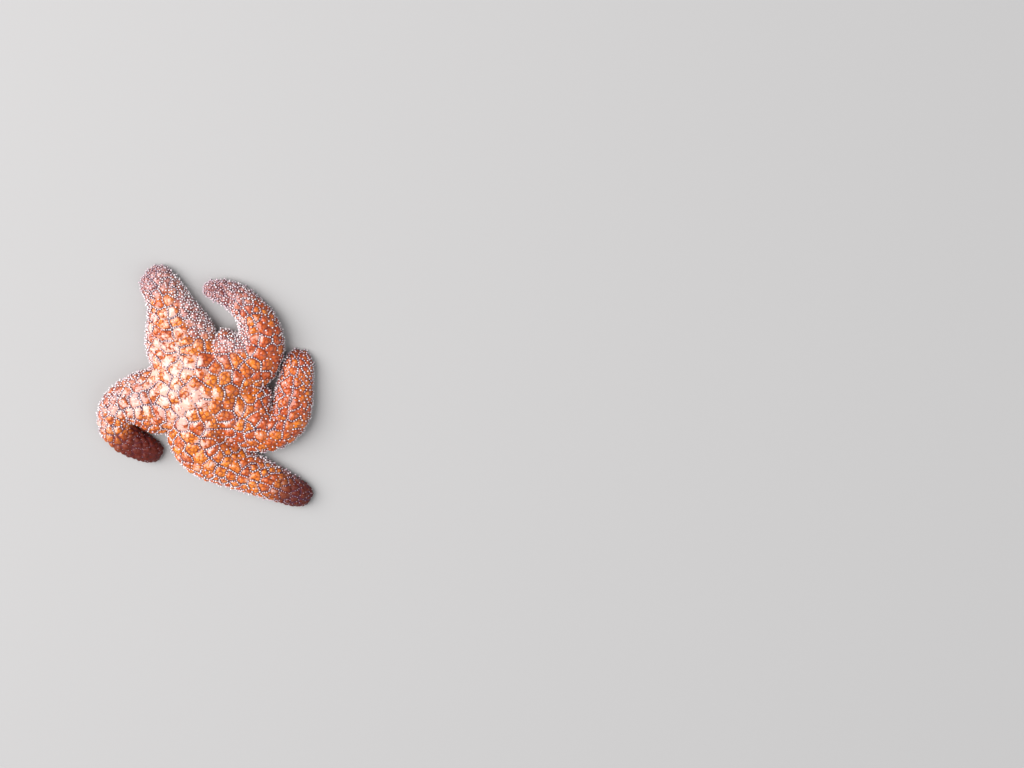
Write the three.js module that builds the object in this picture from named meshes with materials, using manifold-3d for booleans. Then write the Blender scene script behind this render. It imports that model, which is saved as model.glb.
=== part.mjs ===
// A live-size ochre sea star resting on a flat surface, in millimetres, +Z up.
// Five curled arms grow from a domed disc. Each arm is a loft along a bent midline
// and is divided into a few lengths. Valleys part the arms where their bases meet.
import * as THREE from 'three';
import { mergeVertices } from 'three/addons/utils/BufferGeometryUtils.js';
import Module from 'manifold-3d';

const wasm = await Module();
wasm.setup();

// Driving dimensions
const ARM_HEIGHT = 33;          // crest of an arm beside the disc
const TIP_HEIGHT = 0.38;        // crest beside the tip, as a share of ARM_HEIGHT
const HEIGHT_TAPER = 1.2;       // how late along the arm its height falls
const WIDTH_TAPER = 1.25;       // how late along the arm its width falls
const TIP_ROUND = 0.1;          // share of the arm that rounds off into the tip
const TIP_BLUNT = 0.34;         // size of the last section, as a share of the one before it rounds off
const MARGIN = 0.36;            // height of the widest line of a section, as a share of its height
const FLAT_FROM = 0.7;          // where the flat sole starts, as a share of the way under the arm
const GROOVE_SIDE = 0.31;       // half-width of the groove under an arm, as a share of the arm's
const GROOVE_DEPTH = 4.5;       // depth of that groove beside the disc
const TIGHTEST = 0.97;          // share of a bend's radius that the arm's inner side may fill
const PINCH = 5;                // how sharply a bend starts to pinch that side
const WEB_START = 8;            // the web beside an arm grows from here along its midline,
const WEB_FULL = 36;            // is full here,
const WEB_HOLD = 46;            // and narrows from here to where it runs out

// The skin is quilted: it rises over each cell of the net of spines and sinks beside it.
const QUILT = 0.8;              // how far it rises and how far it sinks
const QUILT_START = 29;         // an arm's quilting starts here along its midline
const QUILT_FULL = 36;          // and is full here
const QUILT_EDGE = 6;           // the last corner of a section that is quilted, counted from the crest
// Rings of cells on the disc: distance from its middle, number of cells, direction of the first
const DISC_CELLS = [[9.5, 5, 18], [19.5, 10, 6], [29, 15, 6]];

const DISC_RADIUS = 34;         // where the disc is parted from the arms
const DOME_RADIUS = 46;
const DOME_HEIGHT = 36.5;
const DOME_FLOOR = 9;           // the dome starts above the grooves under the arms
const MOUTH_RADIUS = 8.5;
const MOUTH_DEPTH = 9;
const MOUTH_OPENING = 1.6;      // radius of the hole in the middle of its membrane
const MEMBRANE_SWELL = 3;       // how far the membrane stands down from the top of the pit
const LIP_RADIUS = 12;          // the pit around the mouth flares out to this at the sole,
const LIP_HEIGHT = 3;           // from this height down
const CHANNEL_WIDTH = 9;        // grooves under the disc, from the mouth to each arm
const CHANNEL_DEPTH = 4.5;
const BUTTON_RADIUS = 2.8;      // madreporite, the small sieve plate on the disc
const BUTTON_HEIGHT = 1.5;
const BUTTON_OUT = 17;          // its distance from the middle of the disc
const BUTTON_TURN = 154;        // its direction, in degrees,
const BUTTON_TILT = 12;         // its tilt away from the middle, in degrees,
const BUTTON_SUNK = 2;          // and how far its foot goes down into the disc

const GAP = 0.3;                // clear space where two pieces meet
const AROUND = 20;              // sides of an arm's section
const STEP = 4.6;               // length of one step along an arm
const TIP_STEPS = 3;            // more steps where the tip rounds off
const MIDLINE_STEPS = 200;      // short straight steps that a midline is added up from
const DISC_SIDES = 30;          // sides of the round parts of the disc
const TALL = 60;                // taller than the whole animal
const FAR = 150;                // wider than the whole animal

// Arms, clockwise from the upper left. Angles are in degrees, anticlockwise from +X.
// A web, on the left and on the right, has a width and a distance where it has run out.
// A bend turns the midline by its first number between two shares of the arm's length.
const ARMS = [
  { name: 'arm_1', heading: 113.5, length: 109, width: 24.5, tip: 0.58, webs: [[8, 82], [10, 88]],
    bends: [[-9, 0.1, 0.5], [30, 0.62, 1]] },
  { name: 'arm_2', heading: 32, length: 141, width: 22.5, tip: 0.34, webs: [[14, 104], [8, 82]],
    bends: [[100, 0.3, 0.7], [44, 0.69, 0.98]] },
  { name: 'arm_3', heading: -32, length: 141, width: 25, tip: 0.46, webs: [[9, 82], [9, 82]],
    bends: [[112, 0.35, 0.7]] },
  { name: 'arm_4', heading: -91, length: 152, width: 26, tip: 0.43, webs: [[9, 82], [8, 82]],
    bends: [[65, 0.17, 0.55]] },
  { name: 'arm_5', heading: 192, length: 135, width: 23.5, tip: 0.45, webs: [[10.5, 82], [5, 82]],
    bends: [[138, 0.395, 0.84]] },
];

// Valley between an arm and the next one clockwise, from the middle of the disc outwards:
// distance and direction of each of its points.
const VALLEYS = [
  [[58, 71]],
  [[60, 1]],
  [[46, -70], [80, -50]],
  [[56, -131]],
  [[50, 157]],
];

// Where each arm is divided, as shares of its length, and what its lengths are called
const LENGTHS = [
  { name: 'base', from: 0, to: 0.54 },
  { name: 'middle', from: 0.54, to: 0.7 },
  { name: 'outer', from: 0.7, to: 0.86 },
  { name: 'tip', from: 0.86, to: 1 },
];

const FINISHES = {
  base: new THREE.MeshStandardMaterial({ color: 0xd9682a, roughness: 0.35, metalness: 0 }),
  middle: new THREE.MeshStandardMaterial({ color: 0xd4602a, roughness: 0.35, metalness: 0 }),
  outer: new THREE.MeshStandardMaterial({ color: 0xbf4f27, roughness: 0.35, metalness: 0 }),
  tip: new THREE.MeshStandardMaterial({ color: 0x6d2430, roughness: 0.35, metalness: 0 }),
  disc: new THREE.MeshStandardMaterial({ color: 0xde7433, roughness: 0.35, metalness: 0 }),
  button: new THREE.MeshStandardMaterial({ color: 0xead9cd, roughness: 0.6, metalness: 0 }),
  mouth: new THREE.MeshStandardMaterial({ color: 0xc98a5c, roughness: 0.45, metalness: 0 }),
};

const radians = THREE.MathUtils.degToRad;
const ease = THREE.MathUtils.smoothstep;
const lerp = THREE.MathUtils.lerp;

// Solids

function solidFrom(geometry) {
  const bare = geometry.clone();
  bare.deleteAttribute('normal');
  bare.deleteAttribute('uv');
  const merged = mergeVertices(bare, 1e-5);
  return new wasm.Manifold(new wasm.Mesh({
    numProp: 3,
    vertProperties: new Float32Array(merged.attributes.position.array),
    triVerts: new Uint32Array(merged.index.array),
  }));
}

function geometryFrom(solid) {
  const mesh = solid.getMesh();
  const geometry = new THREE.BufferGeometry();
  geometry.setAttribute('position', new THREE.BufferAttribute(mesh.vertProperties, 3));
  geometry.setIndex(new THREE.BufferAttribute(mesh.triVerts, 1));
  geometry.computeVertexNormals();
  return geometry;
}

function lathe(profile, sides) {
  const points = profile.map(([radius, height]) => new THREE.Vector2(radius, height));
  return new THREE.LatheGeometry(points, sides).rotateX(Math.PI / 2);
}

// Splits the first faces of a grid between their two lower corners, so that each raised corner
// becomes a small bulge of its own
function splitLow(geometry, count, rises) {
  const index = geometry.index;
  for (let i = 0; i < count * 6; i += 6) {
    const [a, b, d, ...rest] = Array.from(index.array.slice(i, i + 6));
    const c = rest.find((corner) => corner !== b && corner !== d);
    if (rises[a] + rises[c] < rises[b] + rises[d]) {
      index.array.set([a, b, c, a, c, d], i);
    }
  }
}

// An upright prism that reaches past the top and bottom of the animal
function prism(points) {
  const shape = new THREE.Shape(points.map(([x, y]) => new THREE.Vector2(x, y)));
  const geometry = new THREE.ExtrudeGeometry(shape, { depth: 2 * TALL, bevelEnabled: false });
  return geometry.translate(0, 0, -TALL);
}

function polar(radius, degrees) {
  return [radius * Math.cos(radians(degrees)), radius * Math.sin(radians(degrees))];
}

// Arms

// Direction of an arm's midline at a share of its length, in radians
function headingAt(arm, share) {
  return arm.bends.reduce(
    (angle, [turn, from, to]) => angle + radians(turn) * ease(share, from, to),
    radians(arm.heading),
  );
}

// Point on the midline, by adding up short straight steps
function midlineAt(arm, share) {
  const point = new THREE.Vector2();
  const step = arm.length * share / MIDLINE_STEPS;
  for (let i = 0; i < MIDLINE_STEPS; i += 1) {
    const angle = headingAt(arm, share * (i + 0.5) / MIDLINE_STEPS);
    point.x += Math.cos(angle) * step;
    point.y += Math.sin(angle) * step;
  }
  return point;
}

// How far a section has rounded off towards the tip: 1 along the arm, TIP_BLUNT at its end
function roundingAt(share) {
  const past = Math.max(0, (share - (1 - TIP_ROUND)) / TIP_ROUND);
  return lerp(TIP_BLUNT, 1, Math.sqrt(Math.max(0, 1 - past ** 2)));
}

function heightAt(share) {
  return ARM_HEIGHT * (1 - (1 - TIP_HEIGHT) * share ** HEIGHT_TAPER) * roundingAt(share);
}

// How fast the midline turns to the left, in radians per millimetre
function turnAt(arm, share) {
  const step = 0.01;
  return (headingAt(arm, share + step) - headingAt(arm, share - step)) / (2 * step * arm.length);
}

// Half-width on the left (side 0) or right (side 1) of the midline
function halfWidthAt(arm, share, side) {
  const along = share * arm.length;
  const plain = arm.width * (1 - (1 - arm.tip) * share ** WIDTH_TAPER) * roundingAt(share);
  const [webWidth, webEnd] = arm.webs[side];
  const web = webWidth * ease(along, WEB_START, WEB_FULL) * (1 - ease(along, WEB_HOLD, webEnd));
  const turn = turnAt(arm, share);
  const inwards = Math.max(0, side === 0 ? turn : -turn);
  return ((plain + web) ** -PINCH + (inwards / TIGHTEST) ** PINCH) ** (-1 / PINCH);
}

// Height of a section's outline at an angle from its crest, as a share of the section's height,
// without the groove
function outline(angle) {
  if (Math.cos(angle) >= 0) {
    return MARGIN + (1 - MARGIN) * Math.cos(angle);
  }
  const under = Math.min(1, -Math.cos(angle) / FLAT_FROM);
  return MARGIN * (1 - Math.sin(under * Math.PI / 2));
}

// How far the skin rises or sinks at a corner of a section. Cells lie on every other corner and
// never on the crest, which keeps a straight line of spines. They are lower where the arm is thin
// and inside a bend, where the sections crowd.
function quiltAt(arm, share, ring, corner, side) {
  const fromCrest = Math.min(corner, AROUND - corner);
  if (fromCrest > QUILT_EDGE) {
    return 0;
  }
  const isCell = fromCrest > 0 && (ring + fromCrest) % 2 === 1;
  const room = Math.min(1, Math.max(0, 1 + side * turnAt(arm, share)));
  const size = QUILT * room * Math.sqrt(heightAt(share) / ARM_HEIGHT);
  return (isCell ? size : -size) * ease(share * arm.length, QUILT_START, QUILT_FULL);
}

function stepsOf(arm, { from, to }) {
  return Math.round((to - from) * arm.length / STEP) + (to === 1 ? TIP_STEPS : 0);
}

// One of an arm's lengths: a cylinder whose every ring becomes a section
function armLength(arm, index) {
  const { from, to } = LENGTHS[index];
  const gap = GAP / 2 / arm.length;
  const start = from === 0 ? 0 : from + gap;
  const end = to === 1 ? 1 : to - gap;
  const steps = stepsOf(arm, LENGTHS[index]);
  const ringsBefore = LENGTHS.slice(0, index).reduce((sum, length) => sum + stepsOf(arm, length), 0);
  const geometry = new THREE.CylinderGeometry(1, 1, 1, AROUND, steps);
  const position = geometry.attributes.position;
  const rises = [];
  for (let i = 0; i < position.count; i += 1) {
    const travel = position.getY(i) + 0.5;
    const share = lerp(start, end, to === 1 ? Math.sin(travel * Math.PI / 2) : travel);
    const middle = midlineAt(arm, share);
    const heading = headingAt(arm, share);
    const height = heightAt(share);
    const across = position.getX(i);
    const isRim = Math.hypot(across, position.getZ(i)) > 0.5;
    let side = across * halfWidthAt(arm, share, across < 0 ? 0 : 1);
    let up = MARGIN * height;
    rises[i] = 0;
    if (isRim) {
      const hollow = Math.max(0, 1 - (across / GROOVE_SIDE) ** 2);
      const depth = GROOVE_DEPTH * height / ARM_HEIGHT;
      const angle = Math.atan2(across, position.getZ(i));
      const corner = Math.round((angle / (2 * Math.PI) + 1) * AROUND) % AROUND;
      const ring = ringsBefore + Math.round(travel * steps);
      rises[i] = quiltAt(arm, share, ring, corner, side);
      side += rises[i] * Math.sin(angle);
      up = outline(angle) * height + rises[i] * Math.cos(angle);
      up += position.getZ(i) < 0 ? hollow * depth : 0;
    }
    position.setXYZ(
      i,
      middle.x + side * Math.sin(heading),
      middle.y - side * Math.cos(heading),
      up,
    );
  }
  splitLow(geometry, AROUND * steps, rises);
  geometry.deleteAttribute('normal');
  geometry.deleteAttribute('uv');
  return mergeVertices(geometry, 1e-5);
}

// Valleys

// A thin upright wall along a valley, as wide as the gap between two pieces
function valleyWall(valley) {
  const points = [[0, 0], ...valley.map(([radius, degrees]) => polar(radius, degrees))];
  const walls = points.slice(1).map((end, i) => {
    const start = points[i];
    const run = Math.hypot(end[0] - start[0], end[1] - start[1]);
    const wall = new THREE.BoxGeometry(run + GAP, GAP, 2 * TALL);
    wall.rotateZ(Math.atan2(end[1] - start[1], end[0] - start[0]));
    return solidFrom(wall.translate((start[0] + end[0]) / 2, (start[1] + end[1]) / 2, 0));
  });
  return walls.reduce((all, wall) => all.add(wall));
}

// The ground that an arm's base may cover: between the valleys on its two sides,
// and opening out past their ends by an angle in degrees
function territory(index) {
  const opening = 30;
  const before = VALLEYS[(index + ARMS.length - 1) % ARMS.length];
  const after = VALLEYS[index];
  const lastBefore = before.at(-1);
  const lastAfter = after.at(-1);
  const centre = ARMS[index].heading;
  const points = [
    [0, 0],
    ...before.map(([radius, degrees]) => polar(radius, degrees)),
    polar(FAR, lastBefore[1] + opening),
    polar(FAR, centre),
    polar(FAR, lastAfter[1] - opening),
    ...after.map(([radius, degrees]) => polar(radius, degrees)).reverse(),
  ];
  return solidFrom(prism(points));
}

// Disc

// Height of the smooth dome at a distance from its middle
function domeAt(radius) {
  return DOME_FLOOR + (DOME_HEIGHT - DOME_FLOOR) * Math.sqrt(Math.max(0, 1 - (radius / DOME_RADIUS) ** 2));
}

// The dome's rings go through its cells and between them
function dome() {
  const cells = [0, ...DISC_CELLS.map(([radius]) => radius)];
  const between = cells.slice(1).map((radius, i) => (radius + cells[i]) / 2);
  const rims = [DISC_RADIUS, 0.85 * DOME_RADIUS, 0.94 * DOME_RADIUS, DOME_RADIUS];
  const radii = [...cells, ...between, ...rims].sort((a, b) => b - a);
  const profile = [[0, DOME_FLOOR], ...radii.map((radius) => [radius, domeAt(radius)])];
  const geometry = lathe(profile, DISC_SIDES);
  const position = geometry.attributes.position;
  const rises = [];
  for (let i = 0; i < position.count; i += 1) {
    const radius = Math.hypot(position.getX(i), position.getY(i));
    const angle = Math.atan2(position.getY(i), position.getX(i));
    const ring = DISC_CELLS.find(([distance]) => Math.abs(radius - distance) < GAP);
    const isBetween = radius > GAP && radius < DISC_RADIUS - GAP;
    rises[i] = isBetween ? -QUILT : 0;
    if (ring) {
      rises[i] = QUILT * Math.cos(ring[1] * (angle - radians(ring[2])));
    }
    position.setZ(i, position.getZ(i) + rises[i]);
  }
  splitLow(geometry, DISC_SIDES * (profile.length - 1), rises);
  return solidFrom(geometry);
}

function upright(radius, bottom, top) {
  const cylinder = new THREE.CylinderGeometry(radius, radius, top - bottom, DISC_SIDES);
  return solidFrom(cylinder.rotateX(Math.PI / 2).translate(0, 0, (bottom + top) / 2));
}

// The pit of the mouth and the grooves that run from it to the arms
function soleCuts() {
  const pit = solidFrom(lathe([
    [0, -GAP],
    [LIP_RADIUS, -GAP],
    [LIP_RADIUS, 0],
    [MOUTH_RADIUS, LIP_HEIGHT],
    [MOUTH_RADIUS, MOUTH_DEPTH],
    [0, MOUTH_DEPTH],
  ], DISC_SIDES));
  return ARMS.reduce((cuts, arm) => {
    const section = new THREE.CylinderGeometry(1, 1, DISC_RADIUS + 2, 12);
    section.scale(CHANNEL_WIDTH / 2, 1, CHANNEL_DEPTH);
    section.translate(0, DISC_RADIUS / 2 + 1, 0);
    section.rotateZ(radians(arm.heading) - Math.PI / 2);
    return cuts.add(solidFrom(section));
  }, pit);
}

// The soft membrane at the bottom of the mouth's pit
function mouthMembrane() {
  const radius = MOUTH_RADIUS - GAP;
  const top = MOUTH_DEPTH - GAP;
  return lathe([
    [0, top - 0.25 * MEMBRANE_SWELL],
    [MOUTH_OPENING, top - 0.55 * MEMBRANE_SWELL],
    [0.35 * radius, top - MEMBRANE_SWELL],
    [0.75 * radius, top - 0.75 * MEMBRANE_SWELL],
    [radius, top - 0.4 * MEMBRANE_SWELL],
    [radius, top],
    [0, top],
  ], AROUND);
}

function buttonPlace() {
  const [x, y] = polar(BUTTON_OUT, BUTTON_TURN);
  return { x, y, z: domeAt(BUTTON_OUT) };
}

// The sieve plate is a low button with a rounded top, sunk a little into the disc
function button(grow) {
  const radius = BUTTON_RADIUS + grow;
  const top = BUTTON_HEIGHT + grow;
  const foot = -BUTTON_SUNK - grow;
  const tilt = radians(BUTTON_TILT);
  const place = buttonPlace();
  const geometry = lathe([
    [0, foot],
    [radius, foot],
    [radius, top * 0.45],
    [radius * 0.8, top * 0.85],
    [radius * 0.4, top],
    [0, top],
  ], AROUND);
  geometry.rotateX(-tilt * Math.sin(radians(BUTTON_TURN)));
  geometry.rotateY(tilt * Math.cos(radians(BUTTON_TURN)));
  return geometry.translate(place.x, place.y, place.z);
}

// Assembly

function piece(name, geometry, finish) {
  const mesh = new THREE.Mesh(geometry, finish);
  mesh.name = name;
  return mesh;
}

const star = new THREE.Group();
const crown = dome();
const bases = ARMS.map((arm) => solidFrom(armLength(arm, 0)));
const walls = VALLEYS.map(valleyWall).reduce((all, wall) => all.add(wall));
const clearOfDisc = upright(DISC_RADIUS + GAP, -TALL, TALL).add(walls);

const sole = upright(DISC_RADIUS + GAP, 0, DOME_FLOOR);
const disc = bases.reduce((all, base) => all.add(base), crown.add(sole))
  .intersect(upright(DISC_RADIUS, -TALL, TALL))
  .subtract(soleCuts())
  .subtract(solidFrom(button(GAP)));
star.add(piece('disc', geometryFrom(disc), FINISHES.disc));
star.add(piece('madreporite', button(0), FINISHES.button));
star.add(piece('mouth', mouthMembrane(), FINISHES.mouth));

ARMS.forEach((arm, index) => {
  const group = new THREE.Group();
  const base = bases[index].add(crown).intersect(territory(index)).subtract(clearOfDisc);
  group.add(piece(`${arm.name}_base`, geometryFrom(base), FINISHES.base));
  LENGTHS.slice(1).forEach(({ name }, before) => {
    group.add(piece(`${arm.name}_${name}`, armLength(arm, before + 1), FINISHES[name]));
  });
  star.add(group);
});

// The origin is under the middle of the animal's box, on the surface that it rests on
const middle = new THREE.Box3().setFromObject(star).getCenter(new THREE.Vector3());
star.position.set(-middle.x, -middle.y, 0);

export default star;
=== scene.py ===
"""Looks of a live-size ochre sea star: its skin, spines, tube feet, sieve plate, mouth and studio."""

import math

import bmesh
import bpy
import numpy as np
from bpy.props import FloatProperty, FloatVectorProperty, IntProperty, PointerProperty
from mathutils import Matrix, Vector, noise
from mathutils.bvhtree import BVHTree
from mathutils.kdtree import KDTree


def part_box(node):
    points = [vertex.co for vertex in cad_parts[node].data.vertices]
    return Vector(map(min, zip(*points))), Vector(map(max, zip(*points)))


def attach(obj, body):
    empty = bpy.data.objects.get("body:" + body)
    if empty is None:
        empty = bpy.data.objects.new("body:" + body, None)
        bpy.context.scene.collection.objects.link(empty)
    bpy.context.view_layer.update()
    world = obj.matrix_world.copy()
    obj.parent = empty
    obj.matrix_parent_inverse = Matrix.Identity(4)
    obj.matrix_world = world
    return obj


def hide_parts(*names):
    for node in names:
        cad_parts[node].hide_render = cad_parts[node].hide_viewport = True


bl_info = {
    "name": "Ochre sea star",
    "version": (1, 0, 0),
    "blender": (4, 5, 0),
    "location": "3D View > Sidebar > Sea star",
    "description": "Dresses the solids of an ochre sea star with skin, spines and tube feet",
    "category": "Object",
}

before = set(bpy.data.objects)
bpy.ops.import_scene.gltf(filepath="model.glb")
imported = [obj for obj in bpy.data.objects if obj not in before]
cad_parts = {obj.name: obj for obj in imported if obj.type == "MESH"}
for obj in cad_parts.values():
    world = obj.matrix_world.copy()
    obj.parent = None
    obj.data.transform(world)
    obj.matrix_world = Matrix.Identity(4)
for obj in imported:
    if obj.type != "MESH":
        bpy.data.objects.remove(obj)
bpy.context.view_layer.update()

MM = 0.001
BODY = "root"
FLESH = ["disc"] + [f"arm_{n}_{part}" for n in range(1, 6) for part in ("base", "middle", "outer", "tip")]

# ---------------------------------------------------------------- anatomy
# The midlines and sections follow the same rules as the solids. Angles are in degrees, the rest
# in millimetres or shares of an arm's length: heading, length, width, share of the width that is
# left at the tip, the width and end of the webs on the left and right, and bends as a turn
# between two shares.
ARM_SHAPES = (
    (113.5, 109, 24.5, 0.58, ((8, 82), (10, 88)), ((-9, 0.1, 0.5), (30, 0.62, 1))),
    (32, 141, 22.5, 0.34, ((14, 104), (8, 82)), ((100, 0.3, 0.7), (44, 0.69, 0.98))),
    (-32, 141, 25, 0.46, ((9, 82), (9, 82)), ((112, 0.35, 0.7),)),
    (-91, 152, 26, 0.43, ((9, 82), (8, 82)), ((65, 0.17, 0.55),)),
    (192, 135, 23.5, 0.45, ((10.5, 82), (5, 82)), ((138, 0.395, 0.84),)),
)
ARM_HEIGHT, TIP_HEIGHT, HEIGHT_TAPER, WIDTH_TAPER = 33, 0.38, 1.2, 1.25
TIP_ROUND, TIP_BLUNT, MARGIN, GROOVE_SIDE, FLAT_FROM = 0.1, 0.34, 0.36, 0.31, 0.7
TIGHTEST, PINCH = 0.97, 5
WEB_START, WEB_FULL, WEB_HOLD = 8, 36, 46
# Sections lie a step apart in each length of an arm, and more closely at the tip. Cells of the net
# lie on every other corner of a section, counted from the crest.
LENGTHS = ((0, 0.54), (0.54, 0.7), (0.7, 0.86), (0.86, 1))
STEP, TIP_STEPS, AROUND, LAST_CORNER = 4.6, 3, 20, 6
# Rings of cells on the disc: distance from its middle, number of cells, direction of the first
DISC_CELLS = ((0, 1, 0), (9.5, 5, 18), (19.5, 10, 6), (29, 15, 6))
STATIONS = 150
# In millimetres: the least distance between cells, where the arms' own cells begin, measured from the
# disc's centre, and how far the underside's pieces end above the floor
CELL_GAP, ARM_CELLS_FROM, FLOOR_GAP = 3, 34, 0.15
# Also in millimetres, the teeth: distance from the mouth's middle, height over the floor, width, length
TEETH_RING, TEETH_UP, TOOTH_WIDTH, TOOTH_LENGTH = 10.4, 1.5, 1.3, 3.6
# Columns of tube feet in a groove, as shares of its half-width
FOOT_COLUMNS = (-0.72, -0.3, 0.3, 0.72)
# The unwrap's margin, the longest arm's strip on it, and how much of a strip the girth takes
UNWRAP_EDGE, UNWRAP_LENGTH, STRIP_WIDTH = 0.01, 0.97, 0.19
# Points that are placed on the arms at a time, and a number above that of the cells
BATCH, MANY_CELLS = 8000, 100000
# The way that the palest film faces: a painted sheen that stands in for the key light's reflection on the
# wet skin
SHEEN_SIDE = np.array([-0.42, 0.06, 0.9])

# Where each arm's dark tip begins, where it is full, and how dark it gets
TIP_SHADES = ((0.78, 1.0, 0.8), (0.68, 0.95, 0.85), (0.93, 1.02, 0.7), (0.66, 0.92, 1.0), (0.64, 0.86, 0.95))

# Soft folds of the skin: points from the disc's centre in millimetres, depth and half-width
FOLDS = (
    (((14, -43), (30, -47), (44, -51), (60, -55)), 1.3, 5.0),
    (((50, 3), (40, -2), (30, -3)), 2.0, 4.0),
    (((-46, 15), (-36, 12), (-27, 10)), 1.2, 3.5),
    (((-34, -36), (-26, -28)), 1.6, 4.0),
    (((16, 52), (13, 38), (12, 28)), 1.4, 4.0),
)
# Where small spines crowd together: the arm, the side in degrees from and to, the share of the arm's
# length from and to, and how full it is
CROWDS = (
    (0, 28, 120, 0.38, 1.2, 1.0),
    (0, -180, 180, 0.8, 1.2, 1.0),
    (0, -120, -62, 0.35, 1.2, 0.8),
    (1, -125, -22, 0.25, 0.72, 1.0),
    (1, -180, 180, 0.74, 1.2, 0.9),
    (2, -120, -60, 0.42, 1.2, 0.6),
    (3, -120, -72, 0.3, 0.9, 0.5),
    (4, 12, 120, 0.3, 0.66, 0.45),
)
# What is written on the skin for its looks, and what only the spines need
LOOKS = ("rim", "line", "lump", "tone", "maroon", "crowd", "low", "bloom", "under")
HELPERS = ("cell", "next_cell", "share", "arm", "girth", "thin", "rise")


def ease(value, start, end):
    """0 at start and 1 at end, easing in and out between them."""
    share = np.clip((value - start) / (end - start), 0, 1)
    return share * share * (3 - 2 * share)


def window(value, start, end, soft):
    """1 between start and end, easing to 0 outside them."""
    return ease(value, start - soft, start + soft) * (1 - ease(value, end - soft, end + soft))


def disc_centre():
    low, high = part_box("disc")
    return np.array([(low.x + high.x) / 2, (low.y + high.y) / 2])


class Arm:
    """One arm's midline, half-widths and heights, at even stations from the disc's centre to the tip."""

    def __init__(self, shape):
        heading, length, width, tip, webs, bends = shape
        self.length = length * MM
        self.share = np.linspace(0, 1, STATIONS + 1)
        self.start, self.bends = heading, bends
        self.heading = self.heading_at(self.share)
        between = self.heading_at((self.share[1:] + self.share[:-1]) / 2)
        moves = np.stack([np.cos(between), np.sin(between)], 1) * self.length / STATIONS
        self.middle = disc_centre() + np.vstack([np.zeros(2), np.cumsum(moves, 0)])
        self.along = np.stack([np.cos(self.heading), np.sin(self.heading)], 1)
        self.right = np.stack([np.sin(self.heading), -np.cos(self.heading)], 1)
        past = np.clip((self.share - 1 + TIP_ROUND) / TIP_ROUND, 0, 1)
        rounding = TIP_BLUNT + (1 - TIP_BLUNT) * np.sqrt(1 - past ** 2)
        self.height = ARM_HEIGHT * MM * (1 - (1 - TIP_HEIGHT) * self.share ** HEIGHT_TAPER) * rounding
        plain = width * (1 - (1 - tip) * self.share ** WIDTH_TAPER) * rounding
        run = self.share * length
        turn = np.gradient(self.heading, self.share * length)
        self.half = []
        for side, inwards in enumerate((np.maximum(turn, 0), np.maximum(-turn, 0))):
            width, end = webs[side]
            full = plain + width * ease(run, WEB_START, WEB_FULL) * (1 - ease(run, WEB_HOLD, end))
            self.half.append((full ** -PINCH + (inwards / TIGHTEST) ** PINCH) ** (-1 / PINCH) * MM)

    def heading_at(self, share):
        angle = np.full_like(share, self.start, dtype=float)
        for turn, start, end in self.bends:
            angle += turn * ease(share, start, end)
        return np.radians(angle)

    def on_section(self, station, right, girth):
        """A section's centre at a station, and the way from it at a girth angle from the crest."""
        height = self.height[station]
        centre = Vector((*self.middle[station], MARGIN * height))
        side = math.sin(girth) * self.half[1 if right else 0][station] * (1 if right else -1)
        over = max(0, math.cos(girth))
        under = min(1, max(0, -math.cos(girth)) / FLAT_FROM)
        rise = over * height * (1 - MARGIN) - math.sin(under * math.pi / 2) * height * MARGIN
        return centre, Vector((*(self.right[station] * side), rise))


ARMS = [Arm(shape) for shape in ARM_SHAPES]


def locate(points):
    """For each point: its arm, the share of the arm's length, and the girth angle from the crest,
    positive on the right of the arm."""
    best = np.full(len(points), np.inf)
    which = np.zeros(len(points), int)
    share = np.zeros(len(points))
    girth = np.zeros(len(points))
    for index, arm in enumerate(ARMS):
        for start in range(0, len(points), BATCH):
            part = points[start:start + BATCH]
            apart = part[:, None, :2] - arm.middle[None]
            station = np.einsum("ijk,ijk->ij", apart, apart).argmin(1)
            step = part[:, :2] - arm.middle[station]
            ahead = np.einsum("ij,ij->i", step, arm.along[station])
            across = np.einsum("ij,ij->i", step, arm.right[station])
            half = np.where(across > 0, arm.half[1][station], arm.half[0][station])
            far = np.hypot(across, ahead) / half
            rows = np.arange(start, start + len(part))
            nearer = far < best[rows]
            rows, chosen = rows[nearer], station[nearer]
            height = arm.height[chosen]
            rise = part[nearer, 2] - MARGIN * height
            rise /= np.where(rise > 0, (1 - MARGIN) * height, MARGIN * height)
            best[rows] = far[nearer]
            which[rows] = index
            share[rows] = arm.share[chosen] + ahead[nearer] / arm.length
            girth[rows] = np.arctan2(across[nearer] / half[nearer], rise)
    return which, np.clip(share, 0, 1), girth


def unroll(which, share, girth):
    """Each point's place on a flat unwrap of the skin: one strip for each arm, from the disc's
    centre to the tip, with the girth across it."""
    reach = np.array([arm.length for arm in ARMS]) / max(arm.length for arm in ARMS)
    return np.stack([
        UNWRAP_EDGE + UNWRAP_LENGTH * share * reach[which],
        (which + 0.5) / len(ARMS) + STRIP_WIDTH * girth / (2 * math.pi),
    ], 1)


# ---------------------------------------------------------------- meshes
def link(name, mesh):
    piece = bpy.data.objects.new(name, mesh)
    bpy.context.scene.collection.objects.link(piece)
    return piece


def read(mesh, name, kind="value", width=1):
    values = np.zeros(len(mesh.attributes[name].data) * width, np.float32)
    mesh.attributes[name].data.foreach_get(kind, values)
    return values.reshape(-1, width) if width > 1 else values


def write(mesh, name, values):
    values = np.asarray(values, float)
    vector = values.ndim == 2
    layer = mesh.attributes.new(name, "FLOAT_VECTOR" if vector else "FLOAT", "POINT")
    layer.data.foreach_set("vector" if vector else "value", values.ravel())


def vertices(mesh, what="co"):
    values = np.zeros(len(mesh.vertices) * 3)
    mesh.vertices.foreach_get(what, values)
    return values.reshape(-1, 3)


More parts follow.
